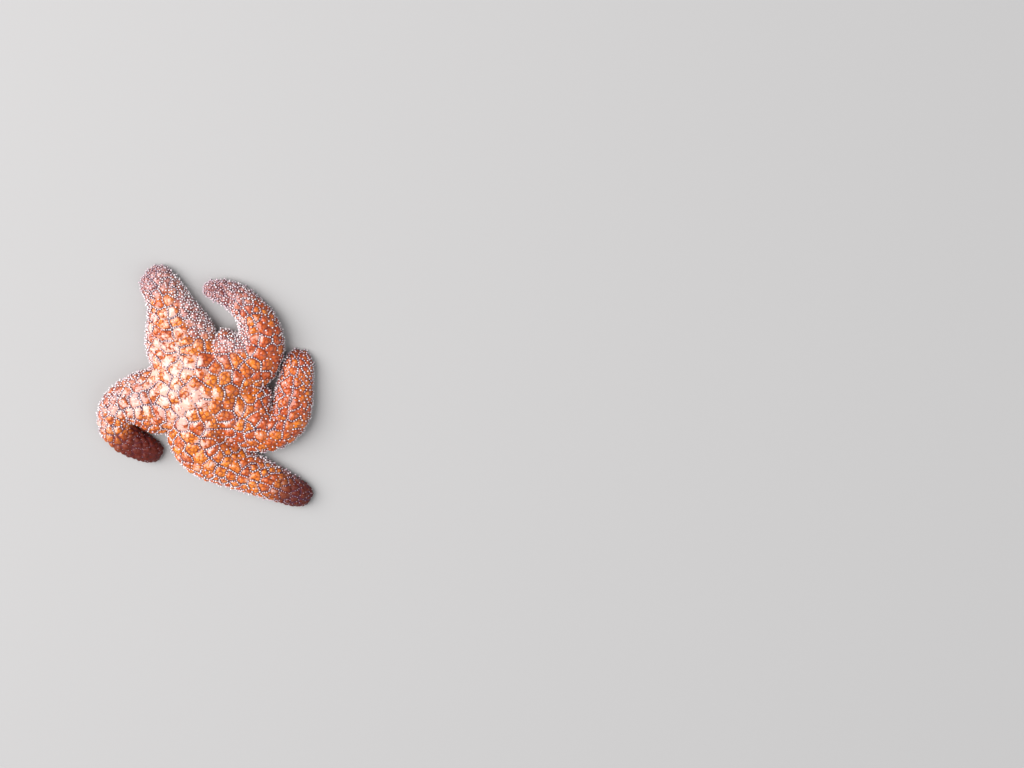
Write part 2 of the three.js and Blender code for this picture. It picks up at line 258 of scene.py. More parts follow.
def applied(piece):
    """The piece's mesh with its modifiers applied, which are then removed."""
    graph = bpy.context.evaluated_depsgraph_get()
    mesh = bpy.data.meshes.new_from_object(
        piece.evaluated_get(graph), preserve_all_data_layers=True, depsgraph=graph)
    piece.modifiers.clear()
    old = piece.data
    piece.data = mesh
    bpy.data.meshes.remove(old)
    mesh.name = piece.name
    return mesh


def settle(piece, material, nodes=()):
    """The last steps of every piece: smooth faces, its material, what it rides on and stands for."""
    piece.data.shade_smooth()
    piece.data.materials.clear()
    piece.data.materials.append(material)
    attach(piece, BODY)
    if nodes:
        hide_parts(*nodes)
    return piece


def wobble(points, size, seed):
    """Smooth noise from -1 to 1 with features about size across."""
    shift = Vector((seed * 7.13, seed * 3.71, seed * 5.37))
    return np.array([noise.noise(Vector(point) / size + shift) for point in points])


def nearest(points, seeds, count):
    tree = KDTree(len(seeds))
    for index, seed in enumerate(seeds):
        tree.insert(seed, index)
    tree.balance()
    return np.array([[found[1] for found in tree.find_n(point, count)] for point in points])


def smoothed(mesh, values, rounds):
    """Values on a mesh's vertices, averaged with their neighbours a number of rounds."""
    ends = np.zeros(len(mesh.edges) * 2, np.int32)
    mesh.edges.foreach_get("vertices", ends)
    first, second = ends.reshape(-1, 2).T
    neighbours = np.bincount(ends, minlength=len(values))
    for _ in range(rounds):
        total = np.bincount(first, values[second], len(values))
        total += np.bincount(second, values[first], len(values))
        values = (values + total / neighbours) / 2
    return values


def net_lines(points, seeds):
    """Distance from each point to the line between its cell and the next one, and those two cells."""
    near = nearest(points, seeds, 5)
    own = seeds[near[:, 0]]
    closest = np.full(len(points), np.inf)
    other = near[:, 1].copy()
    for column in range(1, 5):
        rival = seeds[near[:, column]]
        gap = np.linalg.norm(rival - own, axis=1)
        to_rival = ((points - rival) ** 2).sum(1)
        to_own = ((points - own) ** 2).sum(1)
        distance = (to_rival - to_own) / (2 * gap)
        closer = distance < closest
        closest[closer] = distance[closer]
        other[closer] = near[closer, column]
    return closest, near[:, 0], other


def spaced(points, gap, order, taken=()):
    """Indices of points, in order, that keep a gap from each other and from the places taken.
    gap is one number or one for each point."""
    gaps = np.broadcast_to(gap, len(points))
    size = float(np.max(gaps))
    grid = {}

    def home(point):
        return tuple(int(math.floor(value / size)) for value in point)

    for point in taken:
        grid.setdefault(home(point), []).append(point)
    kept = []
    for index in order:
        point = points[index]
        x, y, z = home(point)
        limit = gaps[index] ** 2
        clear = all(
            ((point - other) ** 2).sum() >= limit
            for a in (x - 1, x, x + 1) for b in (y - 1, y, y + 1) for c in (z - 1, z, z + 1)
            for other in grid.get((a, b, c), ())
        )
        if clear:
            grid.setdefault((x, y, z), []).append(point)
            kept.append(index)
    return np.array(kept, int)


# ---------------------------------------------------------------- nodes and materials
class Wire:
    """A value in a node tree that works in Python expressions. Each sum adds its Math node."""

    def __init__(self, tree, socket):
        self.tree = tree
        self.socket = socket

    def maths(self, operation, *values):
        return wire(self.tree, "ShaderNodeMath", {"operation": operation}, dict(enumerate(values)))

    def __add__(self, other):
        return self.maths("ADD", self, other)

    def __sub__(self, other):
        return self.maths("SUBTRACT", self, other)

    def __rsub__(self, other):
        return self.maths("SUBTRACT", other, self)

    def __mul__(self, other):
        return self.maths("MULTIPLY", self, other)

    __radd__ = __add__
    __rmul__ = __mul__

    def ramp(self, start, end):
        """0 at start and 1 at end, easing in and out between them."""
        values = {"Value": self, "From Min": start, "From Max": end}
        return wire(self.tree, "ShaderNodeMapRange", {"interpolation_type": "SMOOTHSTEP"}, values)

    def sway(self, amount):
        """How far the value is from its middle, times an amount."""
        return (self - 0.5) * amount


def wire(tree, kind, settings=None, values=None, output=0):
    """An output of a new node. Its settings are set first, then its sockets' values or links."""
    node = tree.nodes.new(kind)
    for name, value in (settings or {}).items():
        setattr(node, name, value)
    for name, value in (values or {}).items():
        if isinstance(value, Wire):
            tree.links.new(value.socket, node.inputs[name])
        else:
            node.inputs[name].default_value = value
    return Wire(tree, node.outputs[output])


class Finish:
    """A material being made. Uniform values go straight onto the shader's sockets."""

    def __init__(self, name, **uniform):
        self.material = bpy.data.materials.new(name)
        self.material.use_nodes = True
        self.tree = self.material.node_tree
        self.shader = self.tree.nodes["Principled BSDF"]
        for socket, value in uniform.items():
            self.shader.inputs[socket.replace("_", " ")].default_value = value

    def attribute(self, name):
        return wire(self.tree, "ShaderNodeAttribute", {"attribute_name": name}, output="Fac")

    def texture(self, kind, size, output=0, **values):
        """A texture in the piece's own space, with features about size across."""
        place = wire(self.tree, "ShaderNodeTexCoord", output="Object")
        return wire(self.tree, kind, values={"Vector": place, "Scale": 1 / size, **values}, output=output)

    def noise(self, size, detail=3.0):
        return self.texture("ShaderNodeTexNoise", size, Detail=detail, Roughness=0.55)

    def grains(self, size):
        return self.texture("ShaderNodeTexVoronoi", size, "Distance", Randomness=0.9)

    def mix(self, share, first, second):
        values = {0: share, 6: first, 7: second}
        return wire(self.tree, "ShaderNodeMix", {"data_type": "RGBA"}, values, output=2)

    def feed(self, socket, value):
        self.tree.links.new(value.socket, self.shader.inputs[socket])

    def bump(self, *layers):
        """Adds bumps, each a height, its depth in metres and its strength."""
        before = {}
        for height, depth, strength in layers:
            values = {"Height": height, "Distance": depth, "Strength": strength, **before}
            before = {"Normal": wire(self.tree, "ShaderNodeBump", values=values)}
        self.feed("Normal", before["Normal"])

    def done(self, colour, grain, rough, rougher, depth, strength):
        """The material, with a colour and with the roughness and the bumps that one grain gives."""
        self.feed("Base Color", colour)
        self.feed("Roughness", rough + rougher * grain)
        self.bump((grain, depth, strength))
        return self.material


def skin_finish():
    colours = bpy.context.scene.star_skin
    finish = Finish(
        "sea_star_skin", Coat_Roughness=colours.wet_roughness, Coat_IOR=1.6, Specular_IOR_Level=0.14,
        Subsurface_Weight=0.12, Subsurface_Radius=(1.0, 0.3, 0.15), Subsurface_Scale=0.0025,
    )
    rim, line, lump, tone, maroon, crowd, low, bloom, under = map(finish.attribute, LOOKS)
    blotch = finish.noise(0.011)
    patches = finish.noise(0.0065)
    fine = finish.noise(0.0016, detail=2.0)
    pores = finish.grains(0.0011)

    # Where the flesh dips between its small lumps. The crease colour there, and beside the net's lines, is
    # painted shade.
    crease = (lump + patches.sway(1.5) + fine.sway(0.5)).ramp(0.85, 0.1)
    # Painted sheen: pale patches of film where the skin faces the key light, standing in for its reflection
    # on the wet skin
    film = bloom * 0.82 + patches.sway(2.2) + fine.sway(0.4) - crease * 0.2
    film = film.ramp(0.34, 0.72) * bloom.ramp(0.0, 0.3)
    dark_tip = (maroon + blotch.sway(0.3) * maroon.ramp(0, 0.2)).ramp(0.05, 1.0)
    plum = finish.mix((patches * 0.6 + fine * 0.6).ramp(0.5, 0.68), colours.crowded, colours.veil)
    from_line = rim + fine.sway(0.5)
    groove = from_line.ramp(1.15, 0.45) * line

    flesh = finish.mix((tone * 0.45 + blotch * 0.8).ramp(0.3, 0.8), colours.deep, colours.bright)
    for share, over in (
        # painted shade in the creases between the lumps and beside the net's lines
        (crease * 0.85, colours.crease),
        (from_line.ramp(2.2, 0.6) * line * 0.6, colours.crease),
        # painted shade low on the arms' sides and over the fifth arm's end
        (low * 0.8, colours.flank_shade),
        # painted sheen: the pale film
        (film * 0.8, colours.bloom),
        (dark_tip, colours.tip),
        (crowd * (0.35 + fine * 0.9), plum),
        (pores.ramp(0.42, 0.12) * (0.14 - 0.1 * low), colours.pale),
        (under * (0.6 + 0.4 * blotch), colours.sole),
        (groove * (1 - low * 0.5), colours.net),
    ):
        flesh = finish.mix(share, flesh, over)
    finish.feed("Base Color", flesh)
    finish.feed("Roughness", 0.34 + 0.2 * fine + 0.12 * groove)
    finish.feed("Coat Weight", (1 - 0.5 * low) * (0.8 - 0.7 * maroon))
    finish.bump((fine, 0.0005, 0.5), (pores, 0.0004, 0.5))
    return finish.material


def spine_finish(name="spine_heads"):
    colours = bpy.context.scene.star_spines
    finish = Finish(name, Coat_Weight=0.7, Coat_Roughness=0.25, Subsurface_Weight=0.1,
                    Subsurface_Radius=(0.5, 0.4, 0.4), Subsurface_Scale=0.0008)
    shade, tone = map(finish.attribute, ("shade", "tone"))
    chalk = finish.noise(0.0006, detail=2.0)
    head = finish.mix((tone + chalk.sway(0.5)).ramp(0.1, 0.9), colours.lilac, colours.head_colour)
    colour = finish.mix((shade + chalk.sway(0.25)).ramp(0.25, 0.62), colours.base, head)
    return finish.done(colour, chalk, 0.4, 0.25, 0.0001, 0.4)


def sieve_finish():
    finish = Finish("sieve_plate", Coat_Weight=0.6, Coat_Roughness=0.2)
    ridge = finish.attribute("channel").ramp(0.15, 0.7)
    chalk = finish.noise(0.0009)
    colour = finish.mix(ridge, (0.5, 0.3, 0.22, 1), (0.95, 0.86, 0.78, 1))
    colour = finish.mix(chalk * 0.25, colour, (0.9, 0.62, 0.48, 1))
    return finish.done(colour, chalk, 0.35, 0.3, 0.00015, 0.5)


def mouth_finish():
    finish = Finish("mouth_membrane", Coat_Weight=0.9, Coat_Roughness=0.2, Subsurface_Weight=0.2,
                    Subsurface_Radius=(1.0, 0.5, 0.3), Subsurface_Scale=0.002)
    blotch = finish.noise(0.006).ramp(0.3, 0.7)
    creases = finish.noise(0.0014, detail=4.0)
    colour = finish.mix(blotch, (0.55, 0.22, 0.11, 1), (0.78, 0.45, 0.27, 1))
    colour = finish.mix(creases * 0.4, colour, (0.85, 0.62, 0.45, 1))
    return finish.done(colour, creases, 0.3, 0.3, 0.0004, 0.6)


def feet_finish():
    finish = Finish("tube_feet", Coat_Weight=1.0, Coat_Roughness=0.15, Subsurface_Weight=0.4,
                    Subsurface_Radius=(1.0, 0.8, 0.5), Subsurface_Scale=0.001)
    sucker = finish.attribute("shade").ramp(0.5, 0.95)
    rings = finish.noise(0.0007, detail=2.0)
    colour = finish.mix(sucker, (0.85, 0.72, 0.5, 1), (0.9, 0.6, 0.38, 1))
    colour = finish.mix(rings * 0.3, colour, (0.95, 0.88, 0.74, 1))
    return finish.done(colour, rings, 0.3, 0.25, 0.0001, 0.5)


# ---------------------------------------------------------------- skin
def flesh_surface(voxel):
    """One closed surface over all the flesh solids, a little smoother than they are."""
    shell = bmesh.new()
    for name in FLESH:
        shell.from_mesh(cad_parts[name].data)
    bmesh.ops.remove_doubles(shell, verts=shell.verts, dist=1e-6)
    shell.normal_update()
    swell = 0.3 * MM
    for vertex in shell.verts:
        vertex.co += vertex.normal * swell
    mesh = bpy.data.meshes.new("skin")
    shell.to_mesh(mesh)
    shell.free()
    skin = link("skin", mesh)
    remesh = skin.modifiers.new("close", "REMESH")
    remesh.mode = "VOXEL"
    remesh.voxel_size = voxel
    smooth = skin.modifiers.new("smooth", "SMOOTH")
    smooth.factor = 0.5
    smooth.iterations = 40
    applied(skin)
    return skin


def cell_middles(surface, chance):
    """Middles of the net's cells: rings on the disc, then every other corner of the arms' sections."""
    centre = disc_centre()
    places = []

    def keep(start, way):
        hit = surface.ray_cast(Vector(start), Vector(way).normalized())[0]
        if hit and all((hit - place).length > CELL_GAP * MM for place in places):
            places.append(hit)

    for radius, count, first in DISC_CELLS:
        for k in range(count):
            angle = math.radians(first + 360 * k / count) + chance.normal(0, 0.05)
            far = (radius + chance.normal(0, 0.6)) * MM if radius else 0
            keep((centre[0] + far * math.cos(angle), centre[1] + far * math.sin(angle), 0.08), (0, 0, -1))

    for arm in ARMS:
        ring = 0
        for start, end in LENGTHS:
            steps = math.floor((end - start) * arm.length / MM / STEP + 0.5) + (TIP_STEPS if end == 1 else 0)
            for k in range(steps):
                travel = math.sin(k / steps * math.pi / 2) if end == 1 else k / steps
                share = start + (end - start) * travel
                for right in (False, True):
                    for corner in range(1, LAST_CORNER + 1):
                        if (ring + corner) % 2 == 0 or share * arm.length < ARM_CELLS_FROM * MM:
                            continue
                        girth = 2 * math.pi * (corner + chance.normal(0, 0.1)) / AROUND
                        slide = chance.normal(0, 0.5) * MM / arm.length
                        station = min(STATIONS, int(round((share + slide) * STATIONS)))
                        keep(*arm.on_section(station, right, girth))
                ring += 1
    return np.array([list(place) for place in places])


def fold_depth(points):
    """How deep the soft folds of the skin are at each point."""
    centre = disc_centre()
    depth = np.zeros(len(points))
    for line, deep, wide in FOLDS:
        line = np.array(line) * MM + centre
        nearest_line = np.full(len(points), np.inf)
        run = np.zeros(len(points))
        total = len(line) - 1
        for index, (start, end) in enumerate(zip(line[:-1], line[1:])):
            leg = end - start
            share = np.clip(((points[:, :2] - start) @ leg) / (leg @ leg), 0, 1)
            away = np.linalg.norm(points[:, :2] - start - share[:, None] * leg, axis=1)
            closer = away < nearest_line
            nearest_line[closer] = away[closer]
            run[closer] = (index + share[closer]) / total
        fade = ease(run, 0, 0.25) * (1 - ease(run, 0.8, 1.0) * 0.5)
        depth = np.maximum(depth, deep * MM * np.exp(-(nearest_line / (wide * MM)) ** 2) * fade)
    return depth


def crowding(which, share, girth, points):
    """Where small spines crowd together: 0 for none, 1 for full."""
    side = np.degrees(girth)
    crowd = np.zeros(len(points))
    for arm, side_from, side_to, start, end, full in CROWDS:
        spot = window(side, side_from, side_to, 12) * window(share, start, end, 0.07) * full
        crowd = np.where(which == arm, np.maximum(crowd, spot), crowd)
    return np.clip(crowd + wobble(points, 0.009, 4) * 0.35 * (crowd > 0.05), 0, 1)


def thinning(which, share):
    """How far the spines thin out: on the bare ends of the fourth and fifth arms."""
    thin = np.where(which == 4, ease(share, 0.64, 0.74), 0)
    return np.maximum(thin, np.where(which == 3, 0.75 * ease(share, 0.75, 0.9), 0))


def painted_sheen_amount(points, normals, which, share, girth):
    """Where a pale film lies over the flesh: a painted sheen that stands in for the key light's reflection,
    only where the skin faces that light. Most of it lies on the disc, the first arm and the fifth.
    """
    centre = disc_centre()
    away = np.linalg.norm(points[:, :2] - centre, axis=1)
    # The painted sheen lies only where the skin faces the key light
    facing = ease(normals @ SHEEN_SIDE, 0.55, 0.95)
    bloom = np.where((which == 1) | (which == 2), 0.33, 0.4)
    disc = (1 - ease(away, 0.03, 0.052)) * (0.8 + 0.2 * ease(centre[0] + 0.03 - points[:, 0], 0, 0.03))
    bloom = np.maximum(bloom, disc)
    for arm, film in (
        (0, 0.9 * (1 - ease(girth, 0.2, 0.9))),
        (3, 0.6 * (1 - ease(share, 0.3, 0.5))),
        (4, 0.95 * ease(girth, -1.5, -0.6)),
    ):
        bloom = np.maximum(bloom, np.where(which == arm, film, 0))
    bloom *= np.where(which == 4, 1 - ease(share, 0.63, 0.73), 1)
    bloom *= np.where(which == 3, 1 - 0.8 * ease(share, 0.75, 0.9), 1)
    return np.clip(bloom * (0.8 + 0.6 * wobble(points, 0.014, 9)), 0, 1) * facing


class STAR_OT_skin(bpy.types.Operator):
    """Make one skin over the flesh, puffed up between the lines of its net"""
    bl_idname = "star.skin"
    bl_label = "Skin"

    def execute(self, context):
        sizes = context.scene.star_skin
        chance = np.random.default_rng(sizes.seed)
        skin = flesh_surface(sizes.voxel)
        mesh = skin.data
        points = vertices(mesh)
        normals = vertices(mesh, "normal")
        which, share, girth = locate(points)
        surface = BVHTree.FromObject(skin, context.evaluated_depsgraph_get())
        cells = cell_middles(surface, chance)

        bent = points + np.stack([wobble(points, 0.006, k) for k in (1, 2, 3)], 1) * sizes.bend
        rim, own, other = net_lines(bent, cells)
        in_reach = np.linalg.norm(points - cells[own], axis=1) < sizes.cell_reach
        rim = np.where(in_reach, rim, 3 * sizes.puff_reach)
        lumps = points[spaced(points, sizes.lump_width, chance.permutation(len(points)))]
        lump_rim = net_lines(points + 0.6 * (bent - points), lumps)[0]

        main = chance.random((len(cells), len(cells)))[np.minimum(own, other), np.maximum(own, other)]
        crest = (np.abs(girth) < 0.2) & (share > 0.2)
        line = np.where((main < sizes.main_lines) | crest, 1.0, 0.12)

        in_groove = ease(np.abs(girth), 2.45, 2.7) * (1 - ease(share, 0.27, 0.36))
        under = np.maximum(ease(-normals[:, 2], 0.55, 0.85), in_groove)
        near_tip = ease(share, 0.72, 1.0)
        puff = 1 - (1 - np.clip(rim / sizes.puff_reach, 0, 1)) ** 2
        swell = 1 - (1 - np.clip(lump_rim / (sizes.lump_width * 0.42), 0, 1)) ** 2
        # The painted sheen; where it lies, the lumps are also smaller
        sheen = painted_sheen_amount(points, normals, which, share, girth)
        valley = (1 - puff) * (0.75 + 0.25 * line)
        relief = sizes.puff * (1 - valley * (1 - 0.35 * near_tip - 0.1 * sheen))
        relief += sizes.lump * swell * (0.3 + 0.7 * puff) * (1 - 0.3 * sheen)
        relief = smoothed(mesh, relief * (1 - under), 2)
        relief -= fold_depth(points) * ease(normals[:, 2], 0.1, 0.6)
        inset = sizes.coat * (1 - under) + sizes.sole_coat * under
        moved = points + normals * (relief - inset)[:, None]
        mesh.vertices.foreach_set("co", moved.ravel())
        mesh.update()

        # The lower sides of the arms and the fifth arm's end, which get the flank colour as painted shade
        low = ease(np.abs(girth), 1.1, 1.7)
        low = np.maximum(low, np.where(which == 4, ease(share, 0.64, 0.79), 0))
        maroon = np.zeros(len(points))
        for arm, (start, end, full) in enumerate(TIP_SHADES):
            maroon = np.where(which == arm, ease(share, start, end) * full, maroon)
        line *= 1 - 0.6 * ease(wobble(points, 0.009, 6), 0.0, 0.4)
        # Painted shade: the second and third arms' flesh is made darker from a fifth of their length on
        darker = np.where((which == 1) | (which == 2), 0.45 * ease(share, 0.15, 0.35), 0)
        layers = {
            "rim": rim / MM, "line": line, "lump": swell, "tone": chance.random(len(cells))[own] - darker,
            "maroon": maroon, "crowd": crowding(which, share, girth, points), "low": low, "bloom": sheen,
            "under": under, "cell": own, "next_cell": other, "share": share, "arm": which, "girth": girth,
            "thin": thinning(which, share), "rise": normals,
        }
        for name, values in layers.items():
            write(mesh, name, values)
        return {"FINISHED"}


class STAR_OT_finish_skin(bpy.types.Operator):
    """Thin out the skin's faces, most of all where it is flat, and give it its finish"""
    bl_idname = "star.finish_skin"
    bl_label = "Finish of the skin"

    def execute(self, context):
        skin = bpy.data.objects["skin"]
        for name in HELPERS:
            skin.data.attributes.remove(skin.data.attributes[name])
        thinner = skin.modifiers.new("thinner", "DECIMATE")
        thinner.ratio = context.scene.star_skin.kept_faces
        applied(skin)
        settle(skin, skin_finish(), FLESH)
        return {"FINISHED"}


# ---------------------------------------------------------------- spines
def bridge(shape, loops, flip=False):
    """Faces between loops of vertices that turn the same way. A loop of one vertex is a pole."""
    for lower, upper in zip(loops[:-1], loops[1:]):
        sides = max(len(lower), len(upper))
        for k in range(sides):
            after = (k + 1) % sides
            if len(lower) == 1:
                face = (lower[0], upper[after], upper[k])
            elif len(upper) == 1:
                face = (lower[k], lower[after], upper[0])
            else:
                face = (lower[k], lower[after], upper[after], upper[k])
            shape.faces.new(face[::-1] if flip else face)

def turned(name, profile, sides, place, flip=False):
    """A closed mesh of rings between two poles. Each row of the profile begins with its ring's radius.
    From a row and an angle, place gives a vertex's spot and what is written on it."""
    shape = bmesh.new()
    loops = []
    written = {}
    for row in profile:
        loop = []
        for k in range(sides if row[0] else 1):
            spot, values = place(row, 2 * math.pi * k / sides)
            loop.append(shape.verts.new(spot))
            for layer, value in values.items():
                written.setdefault(layer, []).append(value)
        loops.append(loop)
    bridge(shape, loops, flip)
    mesh = bpy.data.meshes.new(name)
    shape.to_mesh(mesh)
    shape.free()
    for layer, values in written.items():
        write(mesh, layer, values)
    return link(name, mesh)


def lathe(name, profile, sides):
    """A turned shape of height 1 and radius 1. The profile's points are radius, height and shade. The
    place around the axis is kept for the unwrap."""
    last = len(profile) - 1
    rows = [(*row, 0.5 * (1 - position / last)) for position, row in enumerate(profile)]

    def place(row, angle):
        radius, height, shade, out = row
        across, up = math.cos(angle), math.sin(angle)
        return (radius * across, radius * up, height), {"shade": shade, "petal": (out * across, out * up, 0)}

    return turned(name, rows, sides, place)


SPINE_INPUTS = {
    "Geometry": "Geometry", "Spine": "Object", "Width": "Float", "Height": "Float", "Uneven": "Float",
    "Patch": "Float", "Seed": "Int", "Material": "Material",
}


def spine_tree():
    """Geometry nodes that set one spine on each point, along its own way, at its own size."""
    tree = bpy.data.node_groups.get("spines_on_points")
    if tree:
        return tree
    tree = bpy.data.node_groups.new("spines_on_points", "GeometryNodeTree")
    tree.is_modifier = True
    for name, kind in SPINE_INPUTS.items():
        tree.interface.new_socket(name, in_out="INPUT", socket_type="NodeSocket" + kind)
    tree.interface.new_socket("Geometry", in_out="OUTPUT", socket_type="NodeSocketGeometry")

    def node(kind, settings=None, values=None, output=0):
        return wire(tree, kind, settings, values, output)

    def given(name):
        return node("NodeGroupInput", output=name)

    def named(name, kind="FLOAT"):
        return node("GeometryNodeInputNamedAttribute", {"data_type": kind}, {"Name": name})

    size = named("size")
    uneven = node("FunctionNodeRandomValue", {"data_type": "FLOAT"}, {
        2: 1.0, 3: given("Uneven") + 1.0, "Seed": given("Seed")}, output=1)
    width = given("Width") * 0.5 * size
    height = given("Height") * (named("tall") * size) * uneven
    scale = node("ShaderNodeCombineXYZ", values={0: width, 1: width, 2: height})
    turn = node("FunctionNodeAlignRotationToVector", {"axis": "Z"}, {"Vector": named("way", "FLOAT_VECTOR")})
    shape = node("GeometryNodeObjectInfo", values={"Object": given("Spine")}, output="Geometry")
    placed = node("GeometryNodeInstanceOnPoints", values={
        "Points": given("Geometry"), "Instance": shape, "Rotation": turn, "Scale": scale})
    real = node("GeometryNodeRealizeInstances", values={"Geometry": placed})
    petal = node("ShaderNodeVectorMath", {"operation": "SCALE"}, {
        0: named("petal", "FLOAT_VECTOR"), 3: given("Patch")})
    patch = node("ShaderNodeVectorMath", {"operation": "ADD"}, {0: named("root", "FLOAT_VECTOR"), 1: petal})
    mapped = node("GeometryNodeStoreNamedAttribute", {"data_type": "FLOAT2", "domain": "CORNER"}, {
        "Geometry": real, "Name": "OFBake", "Value": patch})
    painted = node("GeometryNodeSetMaterial", values={"Geometry": mapped, "Material": given("Material")})
    tree.links.new(painted.socket, tree.nodes.new("NodeGroupOutput").inputs["Geometry"])
    return tree


def grow(name, template, spots, material, width, height, uneven=0.25, seed=1):
    """A coat piece: one spine on each spot."""
    points = bpy.data.meshes.new(name)
    points.from_pydata([tuple(point) for point in spots["point"]], [], [])
    for layer in ("way", "size", "tone", "tall"):
        write(points, layer, spots[layer])
    write(points, "root", np.c_[spots["root"], np.zeros(len(spots["root"]))])
    piece = link(name, points)
    modifier = piece.modifiers.new("spines", "NODES")
    modifier.node_group = spine_tree()
    inputs = {
        "Spine": template, "Width": width, "Height": height, "Uneven": uneven,
        "Patch": bpy.context.scene.star_spines.patch, "Seed": seed, "Material": material,
    }
    for item in modifier.node_group.interface.items_tree:
        if item.in_out == "INPUT" and item.name in inputs:
            modifier[item.identifier] = inputs[item.name]
    mesh = applied(piece)
    for name in ("way", "size", "tall", "root", "petal"):
        if name in mesh.attributes:
            mesh.attributes.remove(mesh.attributes[name])
    if "OFBake" not in mesh.uv_layers:
        raise RuntimeError(f"{piece.name} has no OFBake map")
    return settle(piece, material)


def skin_facts():
    """The skin's points, normals and what was written on them."""
    mesh = bpy.data.objects["skin"].data
    facts = {name: read(mesh, name) for name in (
        "rim", "line", "maroon", "crowd", "cell", "next_cell", "share", "arm", "girth", "under", "thin")}
    facts["point"] = vertices(mesh)
    facts["normal"] = read(mesh, "rise", "vector", 3).astype(float)
    facts["arm"] = facts["arm"].astype(int)
    return facts


def spots_at(facts, places, ways, size, tone):
    """Spots for spines at places over the skin. The root of each on the unwrap is that of the
    skin's nearest point."""
    near = nearest(places, facts["point"], 1)[:, 0]
    root = unroll(facts["arm"][near], facts["share"][near], facts["girth"][near])
    tone = tone + 0.4 * facts["crowd"][near] - 0.9 * facts["maroon"][near]
    spots = {"point": places, "way": ways, "size": size, "tone": tone, "root": root, "near": near}
    return {**spots, "tall": np.ones(len(places))}


# How far a spine's foot lies under the skin, and the tallest one's top above it, in heights
SPINE_FOOT, SPINE_TOP = 0.5, 1.3


def above_floor(spots, width, height):
    """Only the spots whose spines stay above the floor."""
    ways = spots["way"][:, 2]
    reach = spots["size"] * height
    lowest = spots["point"][:, 2] + np.minimum(-SPINE_FOOT * reach * ways, SPINE_TOP * reach * ways)
    lowest -= spots["size"] * width / 2 * np.sqrt(1 - np.clip(ways, -1, 1) ** 2)
    return {name: values[lowest > 0.02 * MM] for name, values in spots.items()}


def chains(facts, spacing):
    """Places along the net's lines, and the skin's normals there."""
    on_line = (facts["rim"] < 0.6) & (facts["under"] < 0.5)
    rows = np.flatnonzero(on_line)
    first = np.minimum(facts["cell"][rows], facts["next_cell"][rows]).astype(int)
    second = np.maximum(facts["cell"][rows], facts["next_cell"][rows]).astype(int)
    key = first * MANY_CELLS + second
    order = np.argsort(key, kind="stable")
    rows, key = rows[order], key[order]
    cuts = np.flatnonzero(np.diff(key)) + 1
    places, ways = [], []
    for group in np.split(rows, cuts):
        if len(group) < 3:
            continue
        points, normals = facts["point"][group], facts["normal"][group]
        middle = points.mean(0)
        axis = np.linalg.svd(points - middle, full_matrices=False)[2][0]
        travel = (points - middle) @ axis
        start, run = travel.min(), np.ptp(travel)
        minor = facts["line"][group].mean() < 0.5
        count = max(1, round(run / spacing * (0.4 if minor else 1)))
        for k in range(count):
            spot = start + run * (k + 0.5) / count
            weight = np.exp(-((travel - spot) / (0.3 * spacing)) ** 2) + 1e-9
            places.append((points * weight[:, None]).sum(0) / weight.sum())
            way = (normals * weight[:, None]).sum(0)
            ways.append(way / np.linalg.norm(way))
    return np.array(places), np.array(ways)


def jittered(ways, chance, amount):
    ways = ways + chance.normal(0, amount, ways.shape)
    return ways / np.linalg.norm(ways, axis=1)[:, None]


# Profiles of the spines and feet, from the foot up: radius, height and shade
BEAD = ((0, -0.5, 0), (0.85, -0.42, 0), (0.66, 0.12, 0.15), (1.0, 0.6, 0.7), (0.7, 0.93, 1), (0, 1.05, 1))
FOOT = (
    (0, -0.06, 0), (0.62, -0.04, 0), (0.5, 0.35, 0.2), (0.45, 0.7, 0.4), (0.95, 0.9, 0.9), (0.9, 1.0, 1),
    (0, 0.97, 1),
)
PEG = ((0, -0.3, 0), (0.78, -0.25, 0), (0.66, 0.3, 0.4), (0.95, 0.74, 0.9), (0.62, 0.97, 1), (0, 1.04, 1))


